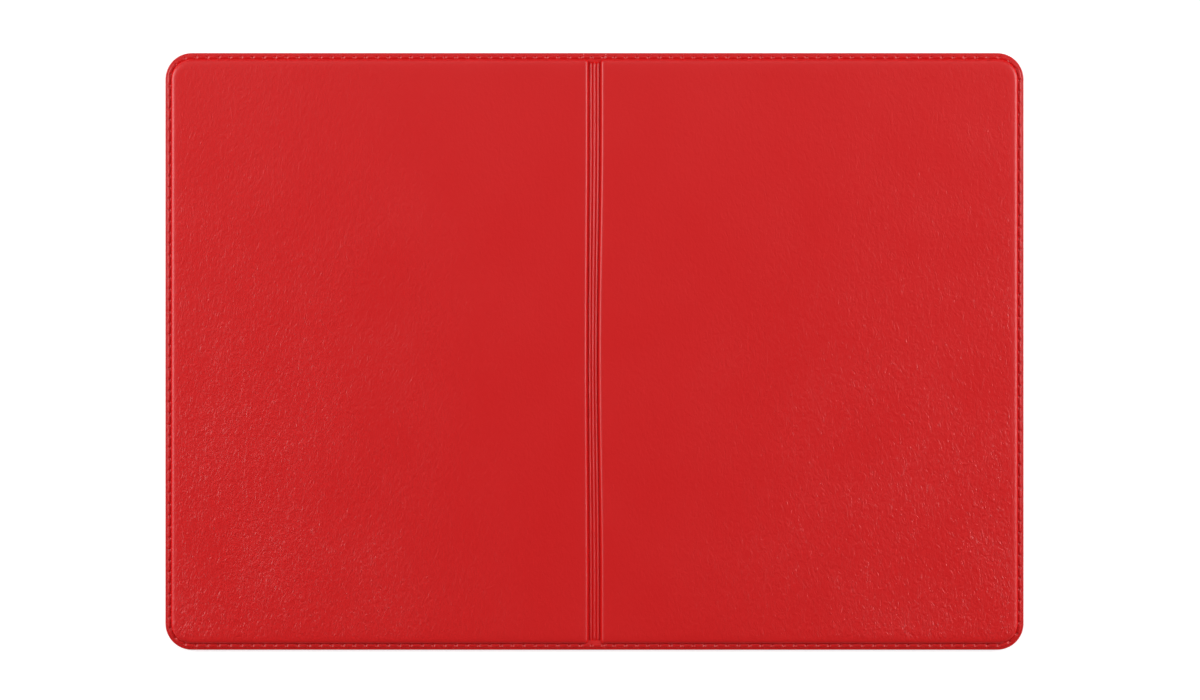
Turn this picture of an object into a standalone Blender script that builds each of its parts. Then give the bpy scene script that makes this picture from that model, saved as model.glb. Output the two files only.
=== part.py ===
"""Passport holder wallet: a welded soft vinyl cover, opened flat with its outside up.

The spine runs along Y at x = 0, the front cover is the half at +X and the back cover the
half at -X.  Metres, +Z up, and the table is z = 0.
"""
import math

import bmesh
import bpy

MM = 0.001

# Whole cover, opened flat.
OPEN_WIDTH = 195.0 * MM
HEIGHT = 135.6 * MM
CORNER_RADIUS = 6.0 * MM
HALF_WIDTH = OPEN_WIDTH / 2
HALF_HEIGHT = HEIGHT / 2

# Spine: three ribs and four grooves.  Everything that folds turns about one axis under rib 2.
RIB_PITCH = 0.87 * MM
RIB_WIDTH = 0.62 * MM
RIB_COUNT = 3
PIVOT_HEIGHT = 0.45 * MM
RIB_BOTTOM = 0.58 * MM
RIB_SHOULDER = 0.97 * MM
RIB_TOP = 1.27 * MM
RIB_CHAMFER = 0.06 * MM
COVER_START_X = RIB_PITCH * (RIB_COUNT + 1) / 2 - RIB_WIDTH / 2

# Layers, from the table up.  Each pair is (bottom, top).
CARD_FILM_Z = (0.00 * MM, 0.12 * MM)
POCKET_FILM_Z = (0.30 * MM, 0.42 * MM)
EDGE_WELD_Z = (0.47 * MM, 1.35 * MM)
LINING_Z = (1.05 * MM, 1.20 * MM)
BOARD_Z = (1.25 * MM, 1.70 * MM)
SKIN_Z = (0.95 * MM, 2.05 * MM)
SKIN_THICKNESS = 0.30 * MM

# Widths and clearances in plan.
LAYER_GAP = 0.05 * MM
WELD_WIDTH = 1.45 * MM
WELD_EDGE_ROUND = 0.25 * MM
SKIN_ROLL = 0.85 * MM
SKIN_SPINE_CORNER = 0.6 * MM
BOARD_MARGIN = 1.10 * MM

# Pocket flap: its mouth faces the spine.
POCKET_MOUTH_X = 31.5 * MM
POCKET_MOUTH_CORNER = 2.0 * MM

# Card pocket on the flap, sized for a 85.6 by 54.0 mm card held upright.
CARD_WIDTH = 54.0 * MM
CARD_SIDE_ROOM = 1.25 * MM
CARD_SEAM = 1.5 * MM
CARD_POCKET_BOTTOM_Y = -62.5 * MM
CARD_POCKET_DEPTH = 66.0 * MM
CARD_POCKET_INNER_X = 34.0 * MM
CARD_SEAM_TOP = POCKET_FILM_Z[0] - LAYER_GAP
CARD_CORNER = 1.5 * MM

# Fineness of the rounded shapes.
ARC_STEPS = 8
SKIN_ROLL_STEPS = 5
HOLLOW_ROLL_STEPS = 4
WELD_ROUND_STEPS = 2
MERGE_DISTANCE = 0.001 * MM
SAME_HEIGHT = 0.0001 * MM

VINYL_RED = (0.53, 0.009, 0.009, 1.0)
WELD_RED = (0.49, 0.007, 0.007, 1.0)
LINING_RED = (0.42, 0.016, 0.018, 1.0)
BOARD_GREY = (0.45, 0.42, 0.38, 1.0)
CLEAR_FILM = (0.86, 0.88, 0.90, 1.0)


def clear_scene():
    """Start from an empty file without closing it."""
    for old in list(bpy.data.objects):
        bpy.data.objects.remove(old, do_unlink=True)
    for old in list(bpy.data.collections):
        bpy.data.collections.remove(old)


def make_collection(name):
    """A new collection in the scene."""
    collection = bpy.data.collections.new(name)
    bpy.context.scene.collection.children.link(collection)
    return collection


def make_material(name, colour, roughness, alpha=1.0):
    """A plain finish of one colour."""
    material = bpy.data.materials.new(name)
    material.use_nodes = True
    shader = material.node_tree.nodes["Principled BSDF"]
    shader.inputs["Base Color"].default_value = colour
    shader.inputs["Roughness"].default_value = roughness
    shader.inputs["Metallic"].default_value = 0.0
    shader.inputs["Alpha"].default_value = alpha
    material.diffuse_color = colour[:3] + (alpha,)
    return material


def arc(centre, radius, start_deg, end_deg, steps=ARC_STEPS):
    """Points along a circular arc, both ends included."""
    points = []
    for i in range(steps + 1):
        angle = math.radians(start_deg + (end_deg - start_deg) * i / steps)
        points.append((centre[0] + radius * math.cos(angle), centre[1] + radius * math.sin(angle)))
    return points


def cover_outline(spine_x, inset, outer_radius, spine_radius):
    """Plan outline of a sheet in the +X half, counter-clockwise.

    spine_x is its edge along the spine, inset its distance inside the cover's other three edges.
    """
    right = HALF_WIDTH - inset
    top = HALF_HEIGHT - inset
    outline = arc((spine_x + spine_radius, -top + spine_radius), spine_radius, 180, 270)
    outline += arc((right - outer_radius, -top + outer_radius), outer_radius, 270, 360)
    outline += arc((right - outer_radius, top - outer_radius), outer_radius, 0, 90)
    outline += arc((spine_x + spine_radius, top - spine_radius), spine_radius, 90, 180)
    return outline


def border_outline():
    """Plan outline of the welded border of the +X half: a U open towards the spine."""
    inner_radius = CORNER_RADIUS - WELD_WIDTH
    right = HALF_WIDTH - CORNER_RADIUS
    top = HALF_HEIGHT - CORNER_RADIUS
    outline = [(COVER_START_X, -HALF_HEIGHT)]
    outline += arc((right, -top), CORNER_RADIUS, 270, 360)
    outline += arc((right, top), CORNER_RADIUS, 0, 90)
    outline += [(COVER_START_X, HALF_HEIGHT), (COVER_START_X, HALF_HEIGHT - WELD_WIDTH)]
    outline += arc((right, top), inner_radius, 90, 0)
    outline += arc((right, -top), inner_radius, 360, 270)
    outline += [(COVER_START_X, WELD_WIDTH - HALF_HEIGHT)]
    return outline


def unchanged(outline):
    """The outline as drawn, in the +X half."""
    return outline


def mirrored(outline):
    """The same outline in the -X half, kept counter-clockwise."""
    return [(-x, y) for x, y in reversed(outline)]


def flat_plate(name, outline, z_range, collection, material=None):
    """A plate of the outline's shape between two heights, as a mesh object."""
    curve = bpy.data.curves.new(name + "_outline", "CURVE")
    curve.dimensions = "2D"
    curve.fill_mode = "BOTH"
    curve.extrude = (z_range[1] - z_range[0]) / 2
    spline = curve.splines.new("POLY")
    spline.points.add(len(outline) - 1)
    for point, (x, y) in zip(spline.points, outline):
        point.co = (x, y, 0.0, 1.0)
    spline.use_cyclic_u = True
    guide = bpy.data.objects.new(name + "_guide", curve)
    collection.objects.link(guide)
    guide.location.z = (z_range[0] + z_range[1]) / 2
    bpy.context.view_layer.update()
    placed = guide.matrix_world.copy()
    evaluated = guide.evaluated_get(bpy.context.evaluated_depsgraph_get())
    mesh = bpy.data.meshes.new_from_object(evaluated)
    bpy.data.objects.remove(guide, do_unlink=True)
    work = bmesh.new()
    work.from_mesh(mesh)
    bmesh.ops.remove_doubles(work, verts=work.verts, dist=MERGE_DISTANCE)
    bmesh.ops.recalc_face_normals(work, faces=work.faces)
    work.to_mesh(mesh)
    work.free()
    mesh.name = name
    plate = bpy.data.objects.new(name, mesh)
    plate.matrix_world = placed
    collection.objects.link(plate)
    if material:
        mesh.materials.clear()
        mesh.materials.append(material)
    return plate


def round_top_edges(plate, width, segments):
    """Round the edges between a plate's top face and its sides."""
    work = bmesh.new()
    work.from_mesh(plate.data)
    top = max(vert.co.z for vert in work.verts)
    rim = [edge for edge in work.edges if is_top_rim(edge, top)]
    bmesh.ops.bevel(work, geom=rim, offset=width, offset_type="OFFSET", segments=segments,
                    profile=0.5, affect="EDGES", clamp_overlap=False)
    work.to_mesh(plate.data)
    work.free()


def is_top_rim(edge, top):
    """Whether an edge lies on the top face and joins it to a side."""
    if any(abs(vert.co.z - top) > SAME_HEIGHT for vert in edge.verts):
        return False
    upright = [abs(face.normal.z) < 0.5 for face in edge.link_faces]
    return any(upright) and not all(upright)


def cut_away(piece, cutter, cutters):
    """Take the cutter's shape out of a piece."""
    for holder in list(cutter.users_collection):
        holder.objects.unlink(cutter)
    cutters.objects.link(cutter)
    cutter.hide_render = True
    cutter.display_type = "WIRE"
    cut = piece.modifiers.new("hollow", "BOOLEAN")
    cut.operation = "DIFFERENCE"
    cut.object = cutter


def make_skin(name, side, parts, cutters, material):
    """The raised outer skin of one cover: a shallow shell, open underneath."""
    inset = WELD_WIDTH + LAYER_GAP
    outline = cover_outline(COVER_START_X, inset, CORNER_RADIUS - inset, SKIN_SPINE_CORNER)
    skin = flat_plate(name, side(outline), SKIN_Z, parts, material)
    round_top_edges(skin, SKIN_ROLL, SKIN_ROLL_STEPS)
    inner = inset + SKIN_THICKNESS
    hollow = cover_outline(COVER_START_X + SKIN_THICKNESS, inner, CORNER_RADIUS - inner,
                           SKIN_SPINE_CORNER - SKIN_THICKNESS)
    hollow_z = (SKIN_Z[0] - SKIN_THICKNESS, SKIN_Z[1] - SKIN_THICKNESS)
    cutter = flat_plate(name + "_hollow", side(hollow), hollow_z, parts)
    round_top_edges(cutter, SKIN_ROLL - SKIN_THICKNESS, HOLLOW_ROLL_STEPS)
    cut_away(skin, cutter, cutters)
    return skin


def make_board(name, side, parts, material):
    """The stiffener that keeps one cover flat, inside the skin."""
    inset = WELD_WIDTH + LAYER_GAP + BOARD_MARGIN
    outline = cover_outline(COVER_START_X + BOARD_MARGIN, inset, CORNER_RADIUS - inset,
                            CORNER_RADIUS - inset)
    return flat_plate(name, side(outline), BOARD_Z, parts, material)


def make_lining(name, side, parts, material):
    """The inner sheet that closes the board in, inside the skin's skirt."""
    inset = WELD_WIDTH + SKIN_THICKNESS + 3 * LAYER_GAP
    spine_x = COVER_START_X + SKIN_THICKNESS + 2 * LAYER_GAP
    outline = cover_outline(spine_x, inset, CORNER_RADIUS - inset, SKIN_SPINE_CORNER / 2)
    return flat_plate(name, side(outline), LINING_Z, parts, material)


def make_edge_weld(name, side, parts, material):
    """The fused border that joins skin, lining and pocket flap on three sides."""
    weld = flat_plate(name, side(border_outline()), EDGE_WELD_Z, parts, material)
    round_top_edges(weld, WELD_EDGE_ROUND, WELD_ROUND_STEPS)
    return weld


def make_passport_pocket(name, side, parts, material):
    """The clear flap that the passport's own cover slides behind."""
    outline = cover_outline(POCKET_MOUTH_X, 0.0, CORNER_RADIUS, POCKET_MOUTH_CORNER)
    return flat_plate(name, side(outline), POCKET_FILM_Z, parts, material)


def make_card_pocket(name, side, parts, cutters, material):
    """A clear pocket on the flap for one card, open at the top."""
    width = CARD_WIDTH + 2 * (CARD_SIDE_ROOM + CARD_SEAM)
    left = CARD_POCKET_INNER_X
    right = left + width
    bottom = CARD_POCKET_BOTTOM_Y
    top = bottom + CARD_POCKET_DEPTH
    outline = arc((left + CARD_CORNER, bottom + CARD_CORNER), CARD_CORNER, 180, 270)
    outline += arc((right - CARD_CORNER, bottom + CARD_CORNER), CARD_CORNER, 270, 360)
    outline += [(right, top), (left, top)]
    pocket = flat_plate(name, side(outline), (CARD_FILM_Z[0], CARD_SEAM_TOP), parts, material)
    room = [(left + CARD_SEAM, bottom + CARD_SEAM), (right - CARD_SEAM, bottom + CARD_SEAM),
            (right - CARD_SEAM, top + CARD_SEAM), (left + CARD_SEAM, top + CARD_SEAM)]
    room_z = (CARD_FILM_Z[1], CARD_SEAM_TOP + CARD_SEAM)
    cutter = flat_plate(name + "_room", side(room), room_z, parts)
    cut_away(pocket, cutter, cutters)
    return pocket


def make_rib(name, centre_x, parts, material):
    """One moulded rib of the spine, as long as the cover is high, with a rounded crest."""
    half = RIB_WIDTH / 2
    crest = RIB_TOP - RIB_SHOULDER
    outline = [(-half + RIB_CHAMFER, RIB_BOTTOM), (half - RIB_CHAMFER, RIB_BOTTOM),
               (half, RIB_BOTTOM + RIB_CHAMFER)]
    for i in range(ARC_STEPS + 1):
        angle = math.pi * i / ARC_STEPS
        outline.append((half * math.cos(angle), RIB_SHOULDER + crest * math.sin(angle)))
    outline.append((-half, RIB_BOTTOM + RIB_CHAMFER))
    rib = flat_plate(name, outline, (-HALF_HEIGHT, HALF_HEIGHT), parts, material)
    rib.location = (centre_x, 0.0, 0.0)
    rib.rotation_euler = (math.pi / 2, 0.0, 0.0)
    return rib


def make_cover(prefix, side, parts, cutters, materials):
    """All the pieces of one cover, from the outside in."""
    return [
        make_skin(prefix + "_cover_skin", side, parts, cutters, materials["vinyl"]),
        make_edge_weld(prefix + "_edge_weld", side, parts, materials["weld"]),
        make_board(prefix + "_board", side, parts, materials["board"]),
        make_lining(prefix + "_lining", side, parts, materials["lining"]),
        make_passport_pocket(prefix + "_passport_pocket", side, parts, materials["film"]),
        make_card_pocket(prefix + "_card_pocket", side, parts, cutters, materials["film"]),
    ]


def hang_on_pivot(name, pieces, collection):
    """Hang pieces on an empty of their own on the fold's axis, leaving them where they are."""
    pivot = bpy.data.objects.new(name + "_pivot", None)
    pivot.empty_display_size = PIVOT_HEIGHT
    pivot.location = (0.0, 0.0, PIVOT_HEIGHT)
    collection.objects.link(pivot)
    bpy.context.view_layer.update()
    for piece in pieces:
        piece.parent = pivot
        piece.matrix_parent_inverse = pivot.matrix_world.inverted()


def main():
    clear_scene()
    parts = make_collection("passport_holder")
    cutters = make_collection("cutters")
    materials = {
        "vinyl": make_material("grained_vinyl", VINYL_RED, 0.38),
        "weld": make_material("welded_vinyl", WELD_RED, 0.35),
        "lining": make_material("lining_vinyl", LINING_RED, 0.5),
        "board": make_material("stiffener_board", BOARD_GREY, 0.9),
        "film": make_material("clear_film", CLEAR_FILM, 0.15, alpha=0.35),
    }

    make_cover("front", unchanged, parts, cutters, materials)
    back = make_cover("back", mirrored, parts, cutters, materials)
    hang_on_pivot("back_cover", back, parts)

    # Rib 1 lies beside the front cover and rib 3 beside the back cover.
    for number in range(1, RIB_COUNT + 1):
        centre_x = RIB_PITCH * (RIB_COUNT + 1 - 2 * number) / 2
        rib = make_rib(f"spine_rib_{number}", centre_x, parts, materials["vinyl"])
        hang_on_pivot(f"rib_{number}", [rib], parts)


main()
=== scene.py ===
"""Passport holder wallet in red welded vinyl, opened flat with its grained outside up.

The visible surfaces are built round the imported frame: raised panels, the welded border with its
stitch-look bead, the ribbed spine, and the linings and clear pockets inside.  Metres, +Z up.
"""
from __future__ import annotations

import logging
import math
from collections.abc import Callable, Sequence
from dataclasses import dataclass
from enum import Enum, IntEnum

import bpy
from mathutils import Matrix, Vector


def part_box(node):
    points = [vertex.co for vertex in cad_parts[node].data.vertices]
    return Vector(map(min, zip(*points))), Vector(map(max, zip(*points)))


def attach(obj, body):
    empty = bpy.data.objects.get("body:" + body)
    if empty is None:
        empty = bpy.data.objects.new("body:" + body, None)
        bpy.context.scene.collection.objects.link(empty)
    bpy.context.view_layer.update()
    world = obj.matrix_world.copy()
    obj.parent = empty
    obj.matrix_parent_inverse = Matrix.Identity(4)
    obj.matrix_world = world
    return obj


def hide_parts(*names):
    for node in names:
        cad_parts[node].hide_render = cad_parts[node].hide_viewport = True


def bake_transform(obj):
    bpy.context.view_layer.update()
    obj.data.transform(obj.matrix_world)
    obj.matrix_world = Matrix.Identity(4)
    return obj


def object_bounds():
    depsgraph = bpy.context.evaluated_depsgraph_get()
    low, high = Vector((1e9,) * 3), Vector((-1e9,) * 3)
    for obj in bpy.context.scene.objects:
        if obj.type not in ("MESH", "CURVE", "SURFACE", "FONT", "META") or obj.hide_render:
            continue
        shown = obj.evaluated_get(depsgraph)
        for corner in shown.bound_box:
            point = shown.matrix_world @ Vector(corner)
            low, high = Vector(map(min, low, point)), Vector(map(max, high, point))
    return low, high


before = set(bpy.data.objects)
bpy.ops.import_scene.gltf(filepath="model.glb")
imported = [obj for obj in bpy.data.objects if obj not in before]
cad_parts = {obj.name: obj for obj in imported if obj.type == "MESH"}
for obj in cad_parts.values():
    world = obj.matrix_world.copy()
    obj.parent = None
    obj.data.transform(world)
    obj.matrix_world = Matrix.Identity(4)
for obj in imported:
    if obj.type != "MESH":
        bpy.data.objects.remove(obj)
CAD_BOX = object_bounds()
LOG = logging.getLogger("passport_holder")

MM = 0.001
# The spine's web meets the two halves of the border this far from the middle.
WEB_END = 2.506 * MM

Point = tuple[float, float, float]
Plan = tuple[float, float]
Colour = tuple[float, float, float, float]


class Side(Enum):
    """Which half of the opened cover a piece belongs to."""

    FRONT = 1
    BACK = -1

    @property
    def label(self) -> str:
        """The word that starts the names of this half's pieces."""
        return self.name.lower()

    @property
    def body(self) -> str:
        """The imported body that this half's pieces ride on."""
        return self.label + "_cover"


class WebFinish(IntEnum):
    """The finishes on the spine's web, in the order of its material slots."""

    GROOVE = 0
    SHELF = 1
    WELD = 2
    LINING = 3


def smooth(share: float) -> float:
    """Ease from 0 to 1 without a corner at either end."""
    share = min(max(share, 0.0), 1.0)
    return share * share * (3 - 2 * share)


def bell(distance: float, width: float) -> float:
    """A soft bump that is 1 at distance 0."""
    return math.exp(-(distance / width) ** 2)


# ---------------------------------------------------------------- mesh building


def finish_mesh(name: str, points: Sequence[Point], faces: Sequence[Sequence[int]],
                material: bpy.types.Material) -> bpy.types.Object:
    """Make a smooth-shaded object from points and faces.

    Args:
        name: The object's name.
        points: Its vertices.
        faces: Its faces, as indices of vertices.
        material: The finish it wears.

    Returns:
        The new object, in the scene.
    """
    mesh = bpy.data.meshes.new(name)
    mesh.from_pydata(points, [], faces)
    mesh.update()
    mesh.shade_smooth()
    mesh.materials.append(material)
    piece = bpy.data.objects.new(name, mesh)
    bpy.context.scene.collection.objects.link(piece)
    return piece


def loft(name: str, sections: Sequence[Sequence[Point]],
         material: bpy.types.Material) -> bpy.types.Object:
    """Join closed sections into a solid with flat ends.

    Args:
        name: The object's name.
        sections: Closed loops of as many points each, in order along the piece.
        material: The finish it wears.

    Returns:
        The new object.
    """
    count = len(sections[0])
    points = [point for section in sections for point in section]
    faces: list[Sequence[int]] = []
    for row in range(len(sections) - 1):
        for i in range(count):
            j = (i + 1) % count
            low, high = row * count, (row + 1) * count
            faces.append((low + i, low + j, high + j, high + i))
    last = (len(sections) - 1) * count
    faces.append(tuple(reversed(range(count))))
    faces.append(tuple(range(last, last + count)))
    piece = finish_mesh(name, points, faces, material)
    make_outward(piece)
    return piece


def make_outward(piece: bpy.types.Object) -> None:
    """Turn a closed piece's faces outward where its volume comes out negative.

    Args:
        piece: The closed piece.
    """
    mesh = piece.data
    mesh.calc_loop_triangles()
    volume = 0.0
    for triangle in mesh.loop_triangles:
        a, b, c = (mesh.vertices[i].co for i in triangle.vertices)
        volume += a.dot(b.cross(c))
    if volume < 0:
        mesh.flip_normals()


def spread(low: float, high: float, edge: Sequence[float], step: float) -> list[float]:
    """Positions across a sheet, close together at both edges.

    Args:
        low: The first edge.
        high: The other edge.
        edge: Distances from each edge, rising from 0.
        step: The spacing between them.

    Returns:
        The positions, rising.
    """
    near = [low + distance for distance in edge]
    far = [high - distance for distance in reversed(edge)]
    count = max(1, round((far[0] - near[-1]) / step))
    middle = [near[-1] + (far[0] - near[-1]) * i / count for i in range(1, count)]
    return near + middle + far


# ---------------------------------------------------------------- the cover's plan


@dataclass(frozen=True)
class Rounded:
    """A rectangle in plan with rounded corners, drawn for the +X half."""

    x0: float
    x1: float
    half_height: float
    spine_radius: float
    outer_radius: float
    centre_y: float = 0.0

    def radius(self, x: float) -> float:
        """Corner radius at the end nearer x."""
        return self.outer_radius if x > (self.x0 + self.x1) / 2 else self.spine_radius

    def place(self, x: float, y: float) -> Plan:
        """Move a point of the plain rectangle to where the rounded one has it.

        Args:
            x: Its place across the half.
            y: Its place along the spine.

        Returns:
            The point in plan.
        """
        radius = self.radius(x)
        outer = x > (self.x0 + self.x1) / 2
        corner_x = self.x1 - radius if outer else self.x0 + radius
        corner_y = self.half_height - radius
        a = (x - corner_x) / radius * (1 if outer else -1)
        b = (abs(y - self.centre_y) - corner_y) / radius
        if a <= 0 or b <= 0:
            return x, y
        new_a = a * math.sqrt(1 - b * b / 2)
        new_b = b * math.sqrt(1 - a * a / 2)
        up = 1 if y > self.centre_y else -1
        across = 1 if outer else -1
        return corner_x + across * new_a * radius, self.centre_y + up * (corner_y + new_b * radius)

    def depth(self, x: float, y: float) -> float:
        """Distance from a point inside to the nearest edge.

        Args:
            x: Its place across the half.
            y: Its place along the spine.

        Returns:
            The distance, 0 on the edge.
        """
        radius = self.radius(x)
        half_width = (self.x1 - self.x0) / 2
        a = abs(x - (self.x0 + self.x1) / 2) - half_width + radius
        b = abs(y - self.centre_y) - self.half_height + radius
        reach = math.hypot(max(a, 0.0), max(b, 0.0)) + min(max(a, b), 0.0)
        return radius - reach


@dataclass(frozen=True)
class SpineBow:
    """How the soft spine has crept sideways and drawn together at mid-height."""

    shift: float = -0.38 * MM
    pinch: float = 0.10
    middle_y: float = -1.0 * MM
    half_run: float = 52.0 * MM
    full_within: float = 2.5 * MM
    fade: float = 12.0 * MM

    def move(self, x: float, y: float) -> float:
        """Where the bow carries a place across the cover.

        Args:
            x: Its place across a straight cover.
            y: Its place along the spine.

        Returns:
            Its place across the bowed cover.
        """
        share = min(abs(y - self.middle_y) / self.half_run, 1.0)
        swell = math.cos(math.pi / 2 * share) ** 2
        hold = math.exp(-max(abs(x) - self.full_within, 0.0) / self.fade)
        near = math.copysign(min(abs(x), self.full_within), x)
        return x + swell * hold * (self.shift - self.pinch * near)


@dataclass(frozen=True)
class Sheet:
    """A thin piece that follows a height over its plan."""

    plan: Rounded
    height: Callable[[float, float, float], float]
    thickness: float
    edge: Sequence[float]
    step: float
    bow: SpineBow | None = None

    def build(self, name: str, side: Side, material: bpy.types.Material) -> bpy.types.Object:
        """Make the sheet on one half of the cover.

        Args:
            name: The object's name.
            side: The half it lies in.
            material: The finish it wears.

        Returns:
            The new object, closed by its own thickness.
        """
        plan = self.plan
        columns = spread(plan.x0, plan.x1, self.edge, self.step)
        low, high = plan.centre_y - plan.half_height, plan.centre_y + plan.half_height
        rows = spread(low, high, self.edge, self.step)
        points: list[Point] = []
        for y in rows:
            for x in columns:
                px, py = plan.place(x, y)
                across = side.value * px
                if self.bow:
                    across = self.bow.move(across, py)
                points.append((across, py, self.height(px, py, plan.depth(px, py))))
        wide = len(columns)
        faces = []
        for row in range(len(rows) - 1):
            for column in range(wide - 1):
                corner = row * wide + column
                face = (corner, corner + 1, corner + wide + 1, corner + wide)
                faces.append(face if side is Side.FRONT else tuple(reversed(face)))
        piece = finish_mesh(name, points, faces, material)
        body = piece.modifiers.new("sheet_thickness", "SOLIDIFY")
        body.thickness = self.thickness
        body.offset = -1.0
        return piece


@dataclass(frozen=True)
class Border:
    """The welded border's run round the whole cover and its moulded profile."""

    half_width: float
    half_height: float
    base: float
    radius: float = 6.0 * MM
    bead_depth: float = 0.98 * MM
    stitches: int = 251
    first_pit_x: float = -0.66 * MM
    pit_depth: float = 0.26 * MM
    pit_width: float = 0.34 * MM
    pit_from_edge: float = 1.00 * MM
    pit_reach: float = 0.26 * MM
    least_step: float = 0.05 * MM
    # Where the sections lie round each pit, in pitches from its middle.
    section_shares: tuple[float, ...] = (
        -0.21, -0.15, -0.10, -0.05, 0.0, 0.05, 0.10, 0.15, 0.21, 0.35, 0.5, 0.65,
    )
    # Depth inside the edge and height, in millimetres, from the outside in.
    profile: tuple[Plan, ...] = (
        (0.03, 0.47), (0.00, 0.58), (0.00, 0.88), (0.04, 1.00), (0.12, 1.05), (0.28, 1.07),
        (0.46, 1.08), (0.54, 1.09), (0.60, 1.13), (0.65, 1.23), (0.70, 1.27), (0.76, 1.29),
        (0.88, 1.30), (1.02, 1.30), (1.14, 1.29), (1.23, 1.26), (1.30, 1.21), (1.36, 1.18),
        (1.44, 1.16),
    )

    @property
    def straight_x(self) -> float:
        """Half the length of the straight part along the top and bottom."""
        return self.half_width - self.radius

    @property
    def straight_y(self) -> float:
        """Half the length of the straight part along the sides."""
        return self.half_height - self.radius

    @property
    def corner_run(self) -> float:
        """Length of the bead round one corner."""
        return (self.radius - self.bead_depth) * math.pi / 2

    @property
    def length(self) -> float:
        """Length of the bead all the way round."""
        return 4 * (self.straight_x + self.straight_y + self.corner_run)

    @property
    def pitch(self) -> float:
        """Distance from one pit to the next."""
        return self.length / self.stitches

    def place(self, run: float, depth: float) -> Plan:
        """The point a distance round the border and a depth inside the cover's edge.

        Args:
            run: Distance along the bead, anticlockwise from the middle of the bottom.
            depth: Distance inside the edge.

        Returns:
            The point in plan.
        """
        run %= self.length
        reach = self.radius - depth
        legs = (
            (self.straight_x, 0.0, -self.straight_y, 0.0),
            (2 * self.straight_y, self.straight_x, -self.straight_y, 90.0),
            (2 * self.straight_x, self.straight_x, self.straight_y, 180.0),
            (2 * self.straight_y, -self.straight_x, self.straight_y, 270.0),
            (self.straight_x, -self.straight_x, -self.straight_y, 360.0),
        )
        for number, (leg, x, y, heading_deg) in enumerate(legs):
            heading = math.radians(heading_deg)
            along = (math.cos(heading), math.sin(heading))
            out = (along[1], -along[0])
            if run <= leg or number == len(legs) - 1:
                return x + along[0] * run + out[0] * reach, y + along[1] * run + out[1] * reach
            run -= leg
            if run <= self.corner_run:
                angle = heading - math.pi / 2 + run / self.corner_run * math.pi / 2
                corner = (x + along[0] * leg, y + along[1] * leg)
                return corner[0] + reach * math.cos(angle), corner[1] + reach * math.sin(angle)
            run -= self.corner_run
        raise ValueError("the run is longer than the border")

    def run_at(self, x: float, y: float) -> float:
        """Distance along the bead of the place nearest a point in plan.

        Args:
            x: The point's place across the cover.
            y: Its place along the spine.

        Returns:
            The run, as place() takes it.
        """
        over_x, over_y = abs(x) - self.straight_x, abs(y) - self.straight_y
        quarter = self.straight_x + 2 * self.straight_y + 2 * self.corner_run
        if over_x > 0 and over_y > 0:
            turn = math.atan2(over_y, over_x) / (math.pi / 2) * self.corner_run
            upper = self.straight_x + self.corner_run + 2 * self.straight_y + turn
            lower = self.straight_x + self.corner_run - turn
            run = upper if y > 0 else lower
        elif over_x > over_y:
            run = self.straight_x + self.corner_run + y + self.straight_y
        else:
            run = quarter + self.straight_x - abs(x) if y > 0 else abs(x)
        return run if x > 0 else self.length - run

    def from_pit(self, run: float) -> float:
        """Distance along the bead to the nearest pit."""
        turns = (run - self.first_pit_x) / self.pitch
        return (turns - round(turns)) * self.pitch

    def lift(self, depth: float, height: float, run: float) -> float:
        """Height of a profile point once the pits are pressed into the bead."""
        across = bell(depth - self.pit_from_edge, self.pit_reach)
        return height - self.pit_depth * across * bell(self.from_pit(run), self.pit_width)

    def top_profile(self) -> list[Plan]:
        """The profile's points as depth and height, in metres, from the outside in."""
        return [(depth * MM, height * MM) for depth, height in self.profile]

    def stations(self, start: float, end: float) -> list[float]:
        """Runs at which the border gets a section, close together at each pit.

        Args:
            start: The first run.
            end: The last run.

        Returns:
            The runs, rising.
        """
        first = math.floor((start - self.first_pit_x) / self.pitch)
        last = math.ceil((end - self.first_pit_x) / self.pitch)
        runs = [self.first_pit_x + (number + share) * self.pitch
                for number in range(first, last + 1) for share in self.section_shares]
        low, high = start + self.least_step, end - self.least_step
        return [start] + [run for run in runs if low < run < high] + [end]

    def build(self, side: Side, spine_x: float, material: bpy.types.Material) -> bpy.types.Object:
        """Sweep the profile along one half of the cover, from spine to spine.

        Args:
            side: The half of the cover.
            spine_x: Where the sweep starts and ends, from the middle of the spine.
            material: The finish it wears.

        Returns:
            The new object.
        """
        start, end = spine_x, self.length / 2 - spine_x
        if side is Side.BACK:
            start, end = self.length / 2 + spine_x, self.length - spine_x
        top = self.top_profile()
        inner = top[-1][0]
        sections = []
        for run in self.stations(start, end):
            section = [(*self.place(run, depth), self.lift(depth, height, run))
                       for depth, height in top]
            section.append((*self.place(run, inner), self.base))
            sections.append(section)
        return loft(f"{side.label}_border", sections, material)


# ---------------------------------------------------------------- finishes


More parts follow.
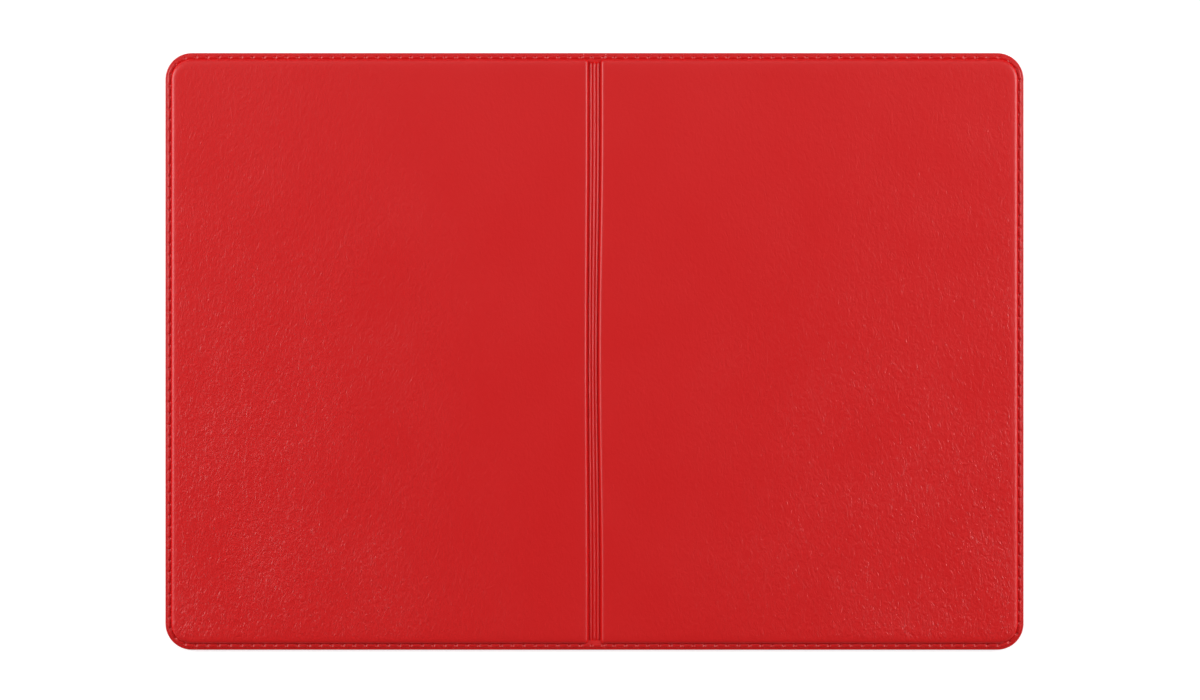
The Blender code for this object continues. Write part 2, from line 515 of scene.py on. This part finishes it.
class Field:
    """One output of a material's nodes, used in expressions like a number."""

    def __init__(self, graph: Graph, socket: bpy.types.NodeSocket) -> None:
        """Wrap a socket of a graph."""
        self.graph = graph
        self.socket = socket

    def _maths(self, operation: str, first: Field | float, second: Field | float) -> Field:
        """Add a Math node."""
        return self.graph.node("ShaderNodeMath", {"operation": operation}, {0: first, 1: second})

    def __add__(self, other: Field | float) -> Field:
        """self + other."""
        return self._maths("ADD", self, other)

    def __radd__(self, other: float) -> Field:
        """other + self."""
        return self._maths("ADD", other, self)

    def __sub__(self, other: Field | float) -> Field:
        """self - other."""
        return self._maths("SUBTRACT", self, other)

    def __rsub__(self, other: float) -> Field:
        """other - self."""
        return self._maths("SUBTRACT", other, self)

    def __mul__(self, other: Field | float) -> Field:
        """self * other."""
        return self._maths("MULTIPLY", self, other)

    def __rmul__(self, other: float) -> Field:
        """other * self."""
        return self._maths("MULTIPLY", other, self)

    def __pow__(self, other: float) -> Field:
        """self to a power."""
        return self._maths("POWER", self, other)

    def __abs__(self) -> Field:
        """abs(self)."""
        return self._maths("ABSOLUTE", self, 0.0)

    def at_most(self, limit: Field | float) -> Field:
        """The lesser of self and a limit."""
        return self._maths("MINIMUM", self, limit)


class Graph:
    """A material's nodes round one Principled shader."""

    def __init__(self, name: str) -> None:
        """Start a material with only its shader and output."""
        self.material = bpy.data.materials.new(name)
        self.material.use_nodes = True
        self.nodes = self.material.node_tree.nodes
        self.shader = self.nodes["Principled BSDF"]

    def _feed(self, socket: bpy.types.NodeSocket, value: Field | float | Sequence[float]) -> None:
        """Link a field to a socket, or set the socket's own value."""
        if isinstance(value, Field):
            self.material.node_tree.links.new(value.socket, socket)
        else:
            socket.default_value = value

    def node(self, kind: str, settings: dict[str, object], values: dict[int | str, object],
             output: int | str = 0) -> Field:
        """Add a node.

        Args:
            kind: The node's type.
            settings: Its own settings, set first.
            values: What goes into its sockets, by name or number.
            output: The output to hand back.

        Returns:
            That output as a field.
        """
        node = self.nodes.new(kind)
        for setting, value in settings.items():
            setattr(node, setting, value)
        for socket, value in values.items():
            self._feed(node.inputs[socket], value)
        return Field(self, node.outputs[output])

    def place(self) -> Field:
        """Position on the piece, in metres."""
        return self.node("ShaderNodeTexCoord", {}, {}, "Object")

    def axis(self, place: Field, name: str) -> Field:
        """One coordinate of a position."""
        return self.node("ShaderNodeSeparateXYZ", {}, {0: place}, name)

    def stretched(self, place: Field, scale: Point) -> Field:
        """A position scaled by a different amount along each axis."""
        return self.node("ShaderNodeVectorMath", {"operation": "MULTIPLY"}, {0: place, 1: scale})

    def noise(self, place: Field, scale: float, detail: float = 2.0) -> Field:
        """Soft noise from 0 to 1."""
        return self.node("ShaderNodeTexNoise", {},
                         {"Vector": place, "Scale": scale, "Detail": detail}, 0)

    def warped(self, place: Field, scale: float, amount: float) -> Field:
        """A position pushed about by noise, so that cells wander.

        Args:
            place: The position.
            scale: The noise's scale.
            amount: How far it pushes.

        Returns:
            The pushed position.
        """
        cloud = self.node("ShaderNodeTexNoise", {}, {"Vector": place, "Scale": scale}, 1)
        centred = self.node("ShaderNodeVectorMath", {"operation": "SUBTRACT"},
                            {0: cloud, 1: (0.5, 0.5, 0.5)})
        push = self.node("ShaderNodeVectorMath", {"operation": "MULTIPLY"},
                         {0: centred, 1: (amount, amount, amount)})
        return self.node("ShaderNodeVectorMath", {"operation": "ADD"}, {0: place, 1: push})

    def mix(self, share: Field, first: Colour, second: Colour) -> Field:
        """A colour between two, by a share."""
        return self.node("ShaderNodeMix", {"data_type": "RGBA"}, {0: share, 6: first, 7: second}, 2)

    def bump(self, height: Field, distance: float) -> Field:
        """A normal from a height."""
        return self.node("ShaderNodeBump", {}, {"Height": height, "Distance": distance})

    def dress(self, **values: Field | float | Sequence[float]) -> bpy.types.Material:
        """Feed the shader.

        Args:
            **values: What goes into its sockets, an underscore standing for a space in a name.

        Returns:
            The material.
        """
        for socket, value in values.items():
            self._feed(self.shader.inputs[socket.replace("_", " ")], value)
        return self.material


@dataclass(frozen=True)
class GrainedVinyl:
    """Soft vinyl embossed with a fine leather grain that runs along the spine."""

    name: str
    shade: Colour
    # The colour at the bottom of the creases, darker there as painted shade, and where the patches
    # run low, as a random mottle.
    crease_shade_and_mottle: Colour
    roughness: float
    corner: Plan
    smooth_edge: float = 2.2 * MM
    gloss: float = 0.36
    crease_scale: float = 880.0
    run: float = 0.46
    sharpness: float = 5.0
    relief: float = 0.120 * MM
    faint_at_spine: float = 0.30
    full_from_spine: float = 70.0 * MM
    strength_at_middle: float = 0.66
    fade_upward: float = 5.0
    wander_scale: float = 380.0
    wander: float = 1.6 * MM
    short_crease_ratio: float = 1.9
    long_crease_share: float = 0.6
    pore_scale: float = 4200.0
    pore_relief: float = 0.08
    patch_scale: float = 55.0
    least_patch: float = 0.45
    patch_swing: float = 0.9

    def crease(self, graph: Graph, place: Field, scale: float) -> Field:
        """Creases where noise crosses its middle, 0 at their bottom and 1 beside them."""
        return (abs(graph.noise(place, scale) - 0.5) * self.sharpness).at_most(1.0)

    def strength(self, graph: Graph, place: Field) -> Field:
        """How deep the emboss is: faint at the spine and the top, nothing at the edge.

        Args:
            graph: The material's nodes.
            place: Position on the piece.

        Returns:
            The strength.
        """
        x, y = graph.axis(place, "X"), graph.axis(place, "Y")
        from_side = (self.corner[0] - abs(x)) * (1 / self.smooth_edge)
        from_end = (self.corner[1] - abs(y)) * (1 / self.smooth_edge)
        inside = from_side.at_most(from_end).at_most(1.0)
        away = (abs(x) * (1 / self.full_from_spine)).at_most(1.0)
        across = self.faint_at_spine + (1 - self.faint_at_spine) * away
        along = self.strength_at_middle - self.fade_upward * y
        return across * along * inside

    def make(self) -> bpy.types.Material:
        """Build the material.

        Returns:
            The finished material.
        """
        graph = Graph(self.name)
        place = graph.place()
        grain_place = graph.stretched(graph.warped(place, self.wander_scale, self.wander),
                                      (1.0, self.run, 1.0))
        long_crease = self.crease(graph, grain_place, self.crease_scale)
        short_crease = self.crease(graph, grain_place,
                                   self.crease_scale * self.short_crease_ratio)
        pores = graph.noise(place, self.pore_scale, 1.0)
        patches = graph.noise(place, self.patch_scale)
        creases = (self.long_crease_share * long_crease
                   + (1 - self.long_crease_share) * short_crease)
        depth = (self.least_patch + self.patch_swing * patches) * self.strength(graph, place)
        height = creases * depth + self.pore_relief * pores
        # Painted shade: the colour darkens towards the darker colour at the bottom of each crease,
        # and the patches add a random mottle.
        crease_shade_and_mottle_share = 0.25 * creases + 0.5 * patches
        return graph.dress(
            Base_Color=graph.mix(crease_shade_and_mottle_share, self.crease_shade_and_mottle, self.shade),
            Roughness=self.roughness + 0.08 * (patches - 0.5) + 0.05 * pores,
            Normal=graph.bump(height, self.relief),
            Specular_IOR_Level=self.gloss,
        )


@dataclass(frozen=True)
class SmoothVinyl:
    """Vinyl pressed smooth, with a faint pebble left in it."""

    name: str
    shade: Colour
    pressed: Colour
    roughness: float
    gloss: float = 0.36
    relief: float = 0.012 * MM
    pebble_scale: float = 1500.0
    cloud_scale: float = 90.0

    def make(self) -> bpy.types.Material:
        """Build the material.

        Returns:
            The finished material.
        """
        graph = Graph(self.name)
        place = graph.place()
        pebble = graph.noise(place, self.pebble_scale)
        clouds = graph.noise(place, self.cloud_scale)
        return graph.dress(
            Base_Color=graph.mix(clouds, self.shade, self.pressed),
            Roughness=self.roughness + 0.08 * (clouds - 0.5),
            Normal=graph.bump(pebble, self.relief),
            Specular_IOR_Level=self.gloss,
        )


@dataclass(frozen=True)
class ClearFilm:
    """Clear flexible vinyl film, glossy and faintly rippled."""

    name: str
    tint: Colour
    hazed: Colour
    alpha: float
    haze_scale: float = 45.0
    ripple_scale: float = 110.0
    ripple_run: float = 0.4
    ripple_relief: float = 0.25 * MM

    def make(self) -> bpy.types.Material:
        """Build the material.

        Returns:
            The finished material.
        """
        graph = Graph(self.name)
        place = graph.place()
        haze = graph.noise(place, self.haze_scale)
        ripple = graph.noise(graph.stretched(place, (1.0, self.ripple_run, 1.0)),
                             self.ripple_scale)
        return graph.dress(
            Base_Color=graph.mix(haze, self.tint, self.hazed),
            Roughness=0.12 + 0.10 * haze,
            Normal=graph.bump(ripple, self.ripple_relief),
            Alpha=self.alpha,
        )


@dataclass(frozen=True)
class GreyBoard:
    """Plain grey pulp board with flecks of fibre."""

    name: str
    shade: Colour
    fleck: Colour
    fibre_scale: float = 1800.0
    fibre_run: float = 0.3
    fibre_relief: float = 0.02 * MM

    def make(self) -> bpy.types.Material:
        """Build the material.

        Returns:
            The finished material.
        """
        graph = Graph(self.name)
        fibre = graph.noise(graph.stretched(graph.place(), (1.0, self.fibre_run, 1.0)),
                            self.fibre_scale, 4.0)
        return graph.dress(
            Base_Color=graph.mix(fibre ** 2.0, self.shade, self.fleck),
            Roughness=0.85 + 0.1 * fibre,
            Normal=graph.bump(fibre, self.fibre_relief),
        )


# ---------------------------------------------------------------- the cover


def fit(piece: bpy.types.Object, body: str, slot: str, *nodes: str) -> None:
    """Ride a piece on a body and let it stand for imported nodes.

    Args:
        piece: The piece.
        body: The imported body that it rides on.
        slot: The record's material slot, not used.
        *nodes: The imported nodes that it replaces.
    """
    if nodes:
        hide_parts(*nodes)
    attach(piece, body)
    LOG.info("%s rides on %s, %d points", piece.name, body, len(piece.data.vertices))


@dataclass
class Cover:
    """One half of the wallet: panel, border, lining, board and clear pockets."""

    side: Side
    border: Border
    bow: SpineBow
    spine_x: float
    border_start_x: float
    panel_inset: float = 1.34 * MM
    panel_top: float = 1.97 * MM
    crown: float = 0.06 * MM
    shoulder_drop: float = 0.72 * MM
    shoulder_reach: float = 0.24 * MM
    spine_shoulder_reach: float = 0.19 * MM
    slope_drop: float = 0.10 * MM
    slope_reach: float = 1.2 * MM
    spine_shoulder_ease: float = 3.0 * MM
    spine_corner_radius: float = 0.9 * MM
    pucker: float = 0.04 * MM
    pucker_width: float = 0.45 * MM
    pucker_reach: float = 0.7 * MM
    wall_tilt: float = 0.70
    skin_thickness: float = 0.14 * MM
    skin_step: float = 0.64 * MM
    skin_edge: tuple[float, ...] = (
        0.0, 0.08 * MM, 0.17 * MM, 0.28 * MM, 0.41 * MM, 0.58 * MM, 0.80 * MM, 1.10 * MM,
        1.50 * MM, 2.05 * MM, 2.70 * MM,
    )
    lining_step: float = 3.0 * MM
    lining_spine_corner: float = 0.3 * MM
    lining_outer_corner: float = 4.0 * MM
    lining_press: float = 0.03 * MM
    lining_press_depth: float = 1.4 * MM
    lining_press_width: float = 0.35 * MM
    lining_edge: tuple[float, ...] = (
        0.0, 0.5 * MM, 0.9 * MM, 1.2 * MM, 1.4 * MM, 1.6 * MM, 1.9 * MM, 2.4 * MM,
    )
    film_thickness: float = 0.08 * MM
    film_step: float = 2.0 * MM
    pocket_corner: float = 2.0 * MM
    pocket_drop: float = 0.03 * MM
    pocket_lip: float = 0.04 * MM
    pocket_lip_middle: float = 0.6 * MM
    pocket_lip_width: float = 0.5 * MM
    pocket_wave: float = 0.02 * MM
    # Radians of wave per metre across the half and along the spine.
    pocket_wave_rates: Plan = (95.0, 70.0)
    pocket_wave_ease: float = 6.0 * MM
    pocket_edge: tuple[float, ...] = (0.0, 0.3 * MM, 0.6 * MM, 0.9 * MM, 1.2 * MM, 1.8 * MM)
    card_sag: float = 0.15 * MM
    card_seam: float = 1.3 * MM
    card_seam_ease: float = 1.2 * MM
    card_corner: float = 1.5 * MM
    card_edge: tuple[float, ...] = (
        0.0, 0.5 * MM, 1.0 * MM, 1.4 * MM, 1.7 * MM, 2.0 * MM, 2.5 * MM,
    )

    def panel_height(self, x: float, y: float, depth: float) -> float:
        """Height of the raised panel, rolled down at its edges and crowned in the middle.

        Args:
            x: Place across the half, from the spine.
            y: Place along the spine.
            depth: Distance inside the panel's edge.

        Returns:
            The height of the skin's top.
        """
        near_border = smooth((x - self.spine_x) / self.spine_shoulder_ease)
        reach = self.spine_shoulder_reach
        reach += (self.shoulder_reach - self.spine_shoulder_reach) * near_border
        drop = self.shoulder_drop * math.exp(-depth / reach)
        drop += self.slope_drop * math.exp(-depth / self.slope_reach)
        off_middle = (x / self.border.half_width - 0.5) ** 2 + (y / self.border.half_height) ** 2 / 4
        rise = self.crown * (1 - 2 * off_middle)
        to_pit = self.border.from_pit(self.border.run_at(self.side.value * x, y))
        tug = bell(to_pit, self.pucker_width) * math.exp(-depth / self.pucker_reach)
        return self.panel_top - drop + rise - self.pucker * near_border * tug

    def panel(self, vinyl: bpy.types.Material, lightened_wall: bpy.types.Material) -> None:
        """The outer skin, grained and raised over its board.

        Args:
            vinyl: The finish of the panel.
            lightened_wall: The finish of its steep edge, dulled by the welding tool, its red painted
                lighter than the panel's as painted light over the edge's shade.
        """
        plan = Rounded(self.spine_x, self.border.half_width - self.panel_inset,
                       self.border.half_height - self.panel_inset, self.spine_corner_radius,
                       self.border.radius - self.panel_inset)
        sheet = Sheet(plan, self.panel_height, self.skin_thickness, self.skin_edge,
                      self.skin_step, self.bow)
        piece = sheet.build(f"{self.side.label}_panel", self.side, vinyl)
        piece.data.materials.append(lightened_wall)
        # The steepest faces take the lighter red: painted light on the shaded edge of the panel.
        for face in piece.data.polygons:
            face.material_index = int(face.normal.z < self.wall_tilt)
        fit(piece, self.side.body, "grained_vinyl", f"{self.side.label}_cover_skin")

    def edge(self, weld: bpy.types.Material) -> None:
        """The welded border of this half."""
        piece = self.border.build(self.side, self.border_start_x, weld)
        fit(piece, self.side.body, "welded_vinyl", f"{self.side.label}_edge_weld")

    def lining(self, vinyl: bpy.types.Material) -> None:
        """The inner sheet, pressed down along its weld.

        Args:
            vinyl: The finish it wears.
        """
        low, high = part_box(f"{self.side.label}_lining")
        near, far = sorted((abs(low.x), abs(high.x)))
        plan = Rounded(near, far, high.y, self.lining_spine_corner, self.lining_outer_corner)

        def height(x: float, y: float, depth: float) -> float:
            """Flat, with a pressed line a little inside the edge."""
            return high.z - self.lining_press * bell(depth - self.lining_press_depth,
                                                     self.lining_press_width)

        sheet = Sheet(plan, height, high.z - low.z, self.lining_edge, self.lining_step)
        piece = sheet.build(f"{self.side.label}_lining_sheet", self.side, vinyl)
        fit(piece, self.side.body, "lining_vinyl", f"{self.side.label}_lining")

    def pocket(self, film: bpy.types.Material) -> None:
        """The clear flap for the passport's cover, its mouth towards the spine.

        Args:
            film: The finish it wears.
        """
        low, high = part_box(f"{self.side.label}_passport_pocket")
        near, far = sorted((abs(low.x), abs(high.x)))
        plan = Rounded(near, far, high.y, self.pocket_corner, self.border.radius)

        def height(x: float, y: float, depth: float) -> float:
            """Nearly flat, with a rolled lip along the mouth and a slow wave."""
            lip = self.pocket_lip * bell(x - near - self.pocket_lip_middle, self.pocket_lip_width)
            x_rate, y_rate = self.pocket_wave_rates
            wave = self.pocket_wave * math.sin(x * x_rate) * math.sin(y * y_rate)
            return high.z - self.pocket_drop + lip + wave * smooth(depth / self.pocket_wave_ease)

        sheet = Sheet(plan, height, self.film_thickness, self.pocket_edge, self.film_step)
        piece = sheet.build(f"{self.side.label}_pocket_film", self.side, film)
        fit(piece, self.side.body, "clear_film", f"{self.side.label}_passport_pocket")

    def card_pocket(self, film: bpy.types.Material) -> None:
        """The clear card pocket, welded to the flap on three sides and open at the top.

        Args:
            film: The finish it wears.
        """
        low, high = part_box(f"{self.side.label}_card_pocket")
        near, far = sorted((abs(low.x), abs(high.x)))
        middle, half = (low.y + high.y) / 2, (high.y - low.y) / 2
        plan = Rounded(near, far, half, self.card_corner, self.card_corner, middle)

        def height(x: float, y: float, depth: float) -> float:
            """High along the three seams, hanging lower between them and at the mouth."""
            from_seam = min(x - near, far - x, y - low.y)
            return high.z - self.card_sag * smooth((from_seam - self.card_seam)
                                                   / self.card_seam_ease)

        sheet = Sheet(plan, height, self.film_thickness, self.card_edge, self.film_step)
        piece = sheet.build(f"{self.side.label}_card_film", self.side, film)
        fit(piece, self.side.body, "clear_film", f"{self.side.label}_card_pocket")

    def board(self, card: bpy.types.Material) -> None:
        """The stiffener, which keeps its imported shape."""
        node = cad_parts[f"{self.side.label}_board"]
        node.data.materials.clear()
        node.data.materials.append(card)


@dataclass
class Spine:
    """The folding spine: one web of vinyl and the ribs moulded on it."""

    border: Border
    bow: SpineBow
    end_x: float
    web_top: float = 1.03 * MM
    web_bottom: float = 0.72 * MM
    shelf_top: float = 1.15 * MM
    shelf_start: float = 1.45 * MM
    shelf_turn: float = 1.8 * MM
    shelf_end: float = 2.1 * MM
    shelf_fall: float = 0.04 * MM
    web_start: float = 2.4 * MM
    underside_inset: float = 1.5 * MM
    columns: int = 40
    rows: int = 30
    rib_half_width: float = 0.28 * MM
    rib_fullness: float = 2.2
    outer_rise: float = 0.08 * MM
    outer_rise_start: float = 0.95 * MM
    outer_rise_run: float = 0.4 * MM
    foot_depth: float = 0.12 * MM
    rib_step: float = 3.0 * MM
    rib_section_steps: int = 14
    tip_length: float = 0.65 * MM
    tip_edge: tuple[float, ...] = (
        0.0, 0.05 * MM, 0.13 * MM, 0.25 * MM, 0.42 * MM, 0.65 * MM, 1.0 * MM,
    )

    def web(self, lightened_groove: bpy.types.Material, shelf: bpy.types.Material,
            weld: bpy.types.Material, lining: bpy.types.Material) -> None:
        """The thin sheet between the covers, with the border's profile at its ends.

        Args:
            lightened_groove: The finish between the ribs, a lighter red painted on as light where
                the ribs shade it.
            shelf: The finish between the ribs' tips and the border, a lighter red painted on as
                light.
            weld: The finish of the border's stretch at each end.
            lining: The finish of the underside.
        """
        half = self.border.half_height
        top = self.border.top_profile()[:-1]
        top += [(self.shelf_start, self.shelf_top), (self.shelf_turn, self.shelf_top),
                (self.shelf_end, self.shelf_top - self.shelf_fall),
                (self.web_start, self.web_top)]
        inner = [self.web_start + (half - self.web_start) * i / self.rows
                 for i in range(1, self.rows)]
        sections = []
        for i in range(self.columns + 1):
            x = -self.end_x + 2 * self.end_x * i / self.columns
            upper = []
            for end in (-1, 1):
                run = x if end < 0 else self.border.length / 2 - x
                half_row = [(x, end * (half - depth), self.border.lift(depth, height, run))
                            for depth, height in top]
                half_row += [self.bowed(x, end * (half - depth), self.web_height(x))
                             for depth in inner]
                upper.append(half_row)
            middle = [self.bowed(x, 0.0, self.web_height(x))]
            under = [(x, half - self.underside_inset, self.web_bottom)]
            under += [self.bowed(x, half * share, self.web_bottom)
                      for share in (0.75, 0.5, 0.25, 0.0, -0.25, -0.5, -0.75)]
            under.append((x, self.underside_inset - half, self.web_bottom))
            sections.append(upper[0] + middle + list(reversed(upper[1])) + under)
        piece = loft("spine_web", sections, lightened_groove)
        for material in (shelf, weld, lining):
            piece.data.materials.append(material)
        for face in piece.data.polygons:
            from_end = half - abs(face.center.y)
            if face.normal.z < -0.5:
                face.material_index = WebFinish.LINING
            elif from_end < self.shelf_start:
                face.material_index = WebFinish.WELD
            elif from_end < self.shelf_end:
                face.material_index = WebFinish.SHELF
        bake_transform(piece)
        LOG.info("spine_web bends between the covers, %d points", len(piece.data.vertices))

    def web_height(self, x: float) -> float:
        """Height of the web's top, a little higher in the two outer grooves."""
        past = abs(x) - self.outer_rise_start
        return self.web_top + self.outer_rise * smooth(past / self.outer_rise_run)

    def bowed(self, x: float, y: float, z: float) -> Point:
        """A point of the web, carried sideways by the bow."""
        return self.bow.move(x, y), y, z

    def rib(self, number: int, vinyl: bpy.types.Material) -> None:
        """One rib, with rounded ends that stop short of the border.

        Args:
            number: Which rib, from 1.
            vinyl: The finish it wears.
        """
        low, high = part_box(f"spine_rib_{number}")
        centre = (low.x + high.x) / 2
        end = self.border.half_height - self.shelf_end
        sections = []
        for y in spread(-end, end, self.tip_edge, self.rib_step):
            from_tip = end - abs(y)
            size = math.sqrt(max(1 - (1 - min(from_tip / self.tip_length, 1.0)) ** 2, 0.01))
            x = self.bow.move(centre, y)
            crest = self.web_top + (high.z - self.web_top) * size
            sections.append(self.rib_section(x, y, self.rib_half_width * size, crest))
        piece = loft(f"rib_{number}_crest", sections, vinyl)
        fit(piece, f"rib_{number}", "grained_vinyl", f"spine_rib_{number}")

    def rib_section(self, x: float, y: float, half_width: float, crest: float) -> list[Point]:
        """A rounded ridge standing in the web.

        Args:
            x: The ridge's middle across the cover.
            y: The section's place along the spine.
            half_width: Half the ridge's width.
            crest: The height of its top.

        Returns:
            The section's points, as one closed loop.
        """
        foot = self.web_top - self.foot_depth
        section = [(x - half_width, y, foot), (x + half_width, y, foot)]
        for i in range(self.rib_section_steps + 1):
            share = 1 - 2 * i / self.rib_section_steps
            rise = (crest - self.web_top) * (1 - abs(share) ** self.rib_fullness)
            section.append((x + half_width * share, y, self.web_top + rise))
        return section


# ---------------------------------------------------------------- the studio


@dataclass(frozen=True)
class Softbox:
    """One soft light aimed at the cover."""

    name: str
    place: Point
    size: Plan
    watts: float

    def hang(self) -> None:
        """Put the light up, facing the middle of the cover."""
        light = bpy.data.lights.new(self.name, "AREA")
        light.shape = "RECTANGLE"
        light.size, light.size_y = self.size
        light.energy = self.watts
        lamp = bpy.data.objects.new(self.name, light)
        bpy.context.scene.collection.objects.link(lamp)
        lamp.location = self.place
        lamp.rotation_euler = (-lamp.location).to_track_quat("-Z", "Y").to_euler()


@dataclass
class Studio:
    """Plain pale floor, soft light and the camera straight above."""

    view_height: float = 0.8
    lens: float = 105.5
    aim: Plan = (1.25 * MM, 0.32 * MM)
    floor_size: float = 14.0
    floor_drop: float = 0.05 * MM
    floor_shade: Colour = (0.47, 0.47, 0.47, 1.0)
    floor_cloud: Colour = (0.45, 0.45, 0.45, 1.0)
    floor_glow: float = 0.68
    world: float = 0.10
    softboxes: tuple[Softbox, ...] = (
        Softbox("left_softbox", (-0.66, 0.15, 0.36), (0.40, 0.60), 6.2),
        Softbox("right_softbox", (0.66, 0.15, 0.36), (0.40, 0.60), 6.2),
        Softbox("top_softbox", (0.0, 0.56, 0.97), (1.2, 0.6), 2.5),
    )

    def floor(self) -> None:
        """A pale sheet just under the cover."""
        half = self.floor_size / 2
        graph = Graph("pale_floor")
        cloud = graph.noise(graph.place(), 3.0)
        material = graph.dress(
            Base_Color=graph.mix(cloud, self.floor_shade, self.floor_cloud),
            Roughness=0.9,
            Emission_Color=(1.0, 1.0, 1.0, 1.0),
            Emission_Strength=self.floor_glow,
        )
        corners = [(x * half, y * half, -self.floor_drop)
                   for x, y in ((-1, -1), (1, -1), (1, 1), (-1, 1))]
        finish_mesh("floor", corners, [(0, 1, 2, 3)], material)

    def camera(self) -> None:
        """Look straight down with the spine upright in the picture."""
        lens = bpy.data.cameras.new("camera")
        lens.lens = self.lens
        lens.sensor_width = 36.0
        camera = bpy.data.objects.new("camera", lens)
        camera.location = (*self.aim, self.view_height)
        bpy.context.scene.collection.objects.link(camera)
        bpy.context.scene.camera = camera

    def light(self) -> None:
        """Fill from all round, and the soft lights."""
        world = bpy.data.worlds.new("studio")
        world.use_nodes = True
        background = world.node_tree.nodes["Background"]
        background.inputs["Color"].default_value = (1.0, 1.0, 1.0, 1.0)
        background.inputs["Strength"].default_value = self.world
        bpy.context.scene.world = world
        bpy.context.scene.view_settings.view_transform = "Standard"
        for softbox in self.softboxes:
            softbox.hang()


def main() -> None:
    """Build the cover, the spine and the studio."""
    logging.basicConfig(level=logging.INFO, format="%(message)s")
    high = CAD_BOX[1]
    border = Border(half_width=high[0], half_height=high[1],
                    base=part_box("front_edge_weld")[0].z)
    vinyl = GrainedVinyl("grained_vinyl", (0.535, 0.0082, 0.0086, 1.0),
                         (0.510, 0.0074, 0.0078, 1.0), 0.34,
                         (high[0] - Cover.panel_inset, high[1] - Cover.panel_inset)).make()
    weld = SmoothVinyl("welded_vinyl", (0.500, 0.0066, 0.0070, 1.0),
                       (0.470, 0.0058, 0.0062, 1.0), 0.32, gloss=0.31).make()
    # Painted light: a lighter, redder copy of the panel's vinyl for the panel's steep edges and the
    # web between the ribs, which lie in shade.
    lightened_groove = SmoothVinyl("groove_vinyl_painted_light", (0.615, 0.0045, 0.0048, 1.0),
                         (0.590, 0.0040, 0.0043, 1.0), 0.48, gloss=0.12).make()
    # Painted light: a lighter copy of the panel's vinyl, so that the ribs' crests and the shelves by
    # their tips read brighter.
    crest = SmoothVinyl("crest_vinyl_painted_light", (0.600, 0.0088, 0.0092, 1.0),
                        (0.575, 0.0082, 0.0086, 1.0), 0.34, gloss=0.50).make()
    lining = SmoothVinyl("lining_vinyl", (0.42, 0.016, 0.018, 1.0),
                         (0.38, 0.013, 0.015, 1.0), 0.5).make()
    film = ClearFilm("clear_film", (0.86, 0.88, 0.90, 1.0), (0.80, 0.83, 0.86, 1.0), 0.09).make()
    card = GreyBoard("stiffener_board", (0.45, 0.42, 0.38, 1.0), (0.56, 0.53, 0.48, 1.0)).make()

    spine_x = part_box("front_cover_skin")[0].x
    bow = SpineBow()
    studio = Studio()
    studio.camera()
    for side in Side:
        cover = Cover(side, border, bow, spine_x, WEB_END)
        cover.panel(vinyl, lightened_groove)
        cover.edge(weld)
        cover.lining(lining)
        cover.pocket(film)
        cover.card_pocket(film)
        cover.board(card)
    spine = Spine(border, bow, WEB_END)
    spine.web(lightened_groove, crest, weld, lining)
    for number in (1, 2, 3):
        spine.rib(number, crest)
    studio.floor()
    studio.light()


if __name__ == "__main__":
    main()
